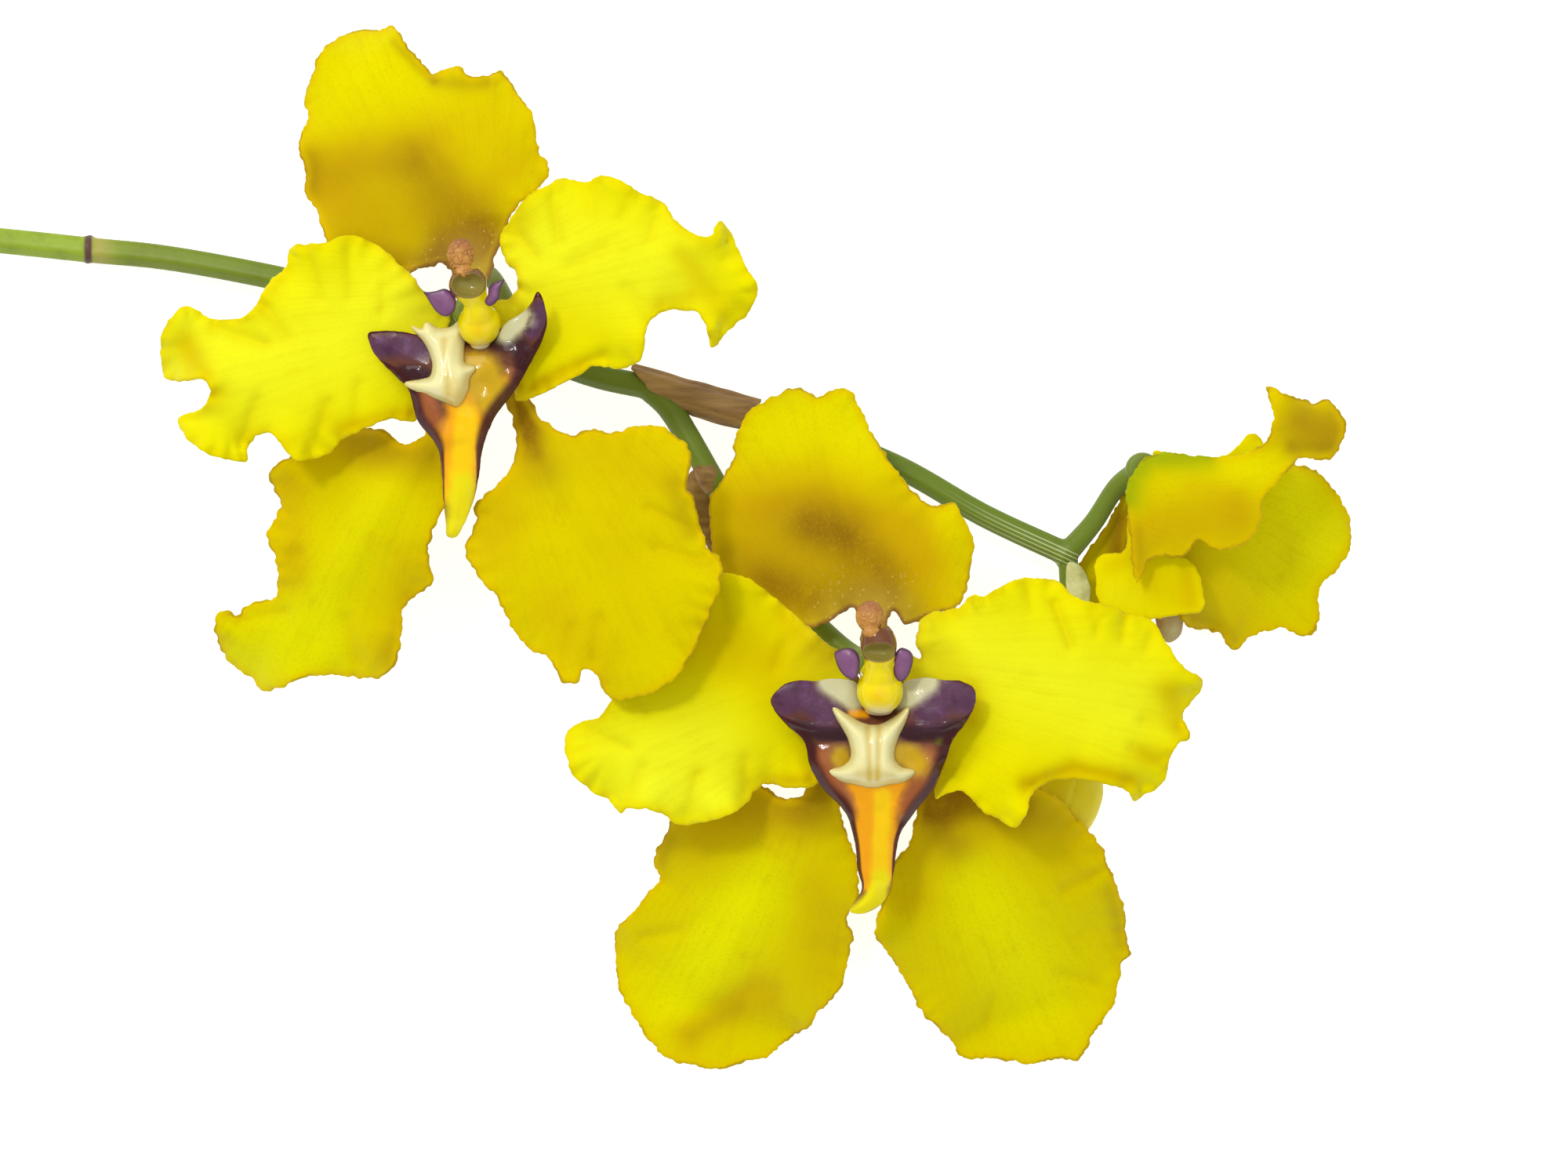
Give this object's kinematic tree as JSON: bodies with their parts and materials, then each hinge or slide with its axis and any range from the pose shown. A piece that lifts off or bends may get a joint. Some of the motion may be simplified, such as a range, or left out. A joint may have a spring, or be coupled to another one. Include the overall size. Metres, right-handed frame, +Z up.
{
  "type": "oncidium orchid",
  "caption": "Cut flowering orchid spray lying on a surface: wavy yellow blooms with maroon lips and ivory crests on a branching green stem with a bud.",
  "frame": {"origin": "on the surface that the spray lies on, under the middle of its bounding box", "axes": "+X along the stem from its cut end to the last bloom, +Z up out of the surface, towards the viewer who looks down on the blooms"},
  "size_m": [0.1889, 0.134, 0.0404],
  "materials": {
    "petal": "satin, thin and bright yellow",
    "sepal": "satin, olive yellow",
    "lip": "glossy maroon rims with an orange tongue",
    "callus": "waxy ivory",
    "column": "waxy yellow",
    "wing": "satin purple",
    "anther": "satin tan",
    "stem": "satin green, faintly ribbed",
    "bract": "matt, dry and papery",
    "pale_bract": "matt, pale green",
    "bud": "satin yellow green"
  },
  "bodies": {
    "root": {"stem": "stem", "bract_sheath": "bract", "bract_branch": "bract", "bract_node": "pale_bract", "bloom_1_dorsal_sepal": "sepal", "bloom_1_left_petal": "petal", "bloom_1_right_petal": "petal", "bloom_1_left_sepal": "sepal", "bloom_1_right_sepal": "sepal", "bloom_1_lip": "lip", "bloom_1_callus": "callus", "bloom_1_column": "column", "bloom_1_left_wing": "wing", "bloom_1_right_wing": "wing", "bloom_1_anther_cap": "anther", "bloom_2_dorsal_sepal": "sepal", "bloom_2_left_petal": "petal", "bloom_2_right_petal": "petal", "bloom_2_left_sepal": "sepal", "bloom_2_right_sepal": "sepal", "bloom_2_lip": "lip", "bloom_2_callus": "callus", "bloom_2_column": "column", "bloom_2_left_wing": "wing", "bloom_2_right_wing": "wing", "bloom_2_anther_cap": "anther", "bloom_3_dorsal_sepal": "sepal", "bloom_3_left_petal": "petal", "bloom_3_right_petal": "petal", "bloom_3_left_sepal": "sepal", "bloom_3_right_sepal": "sepal", "bloom_3_lip": "lip", "bloom_3_callus": "callus", "bloom_3_column": "column", "bloom_3_left_wing": "wing", "bloom_3_right_wing": "wing", "bloom_3_anther_cap": "anther", "bud": "bud"}
  },
  "joints": []
}
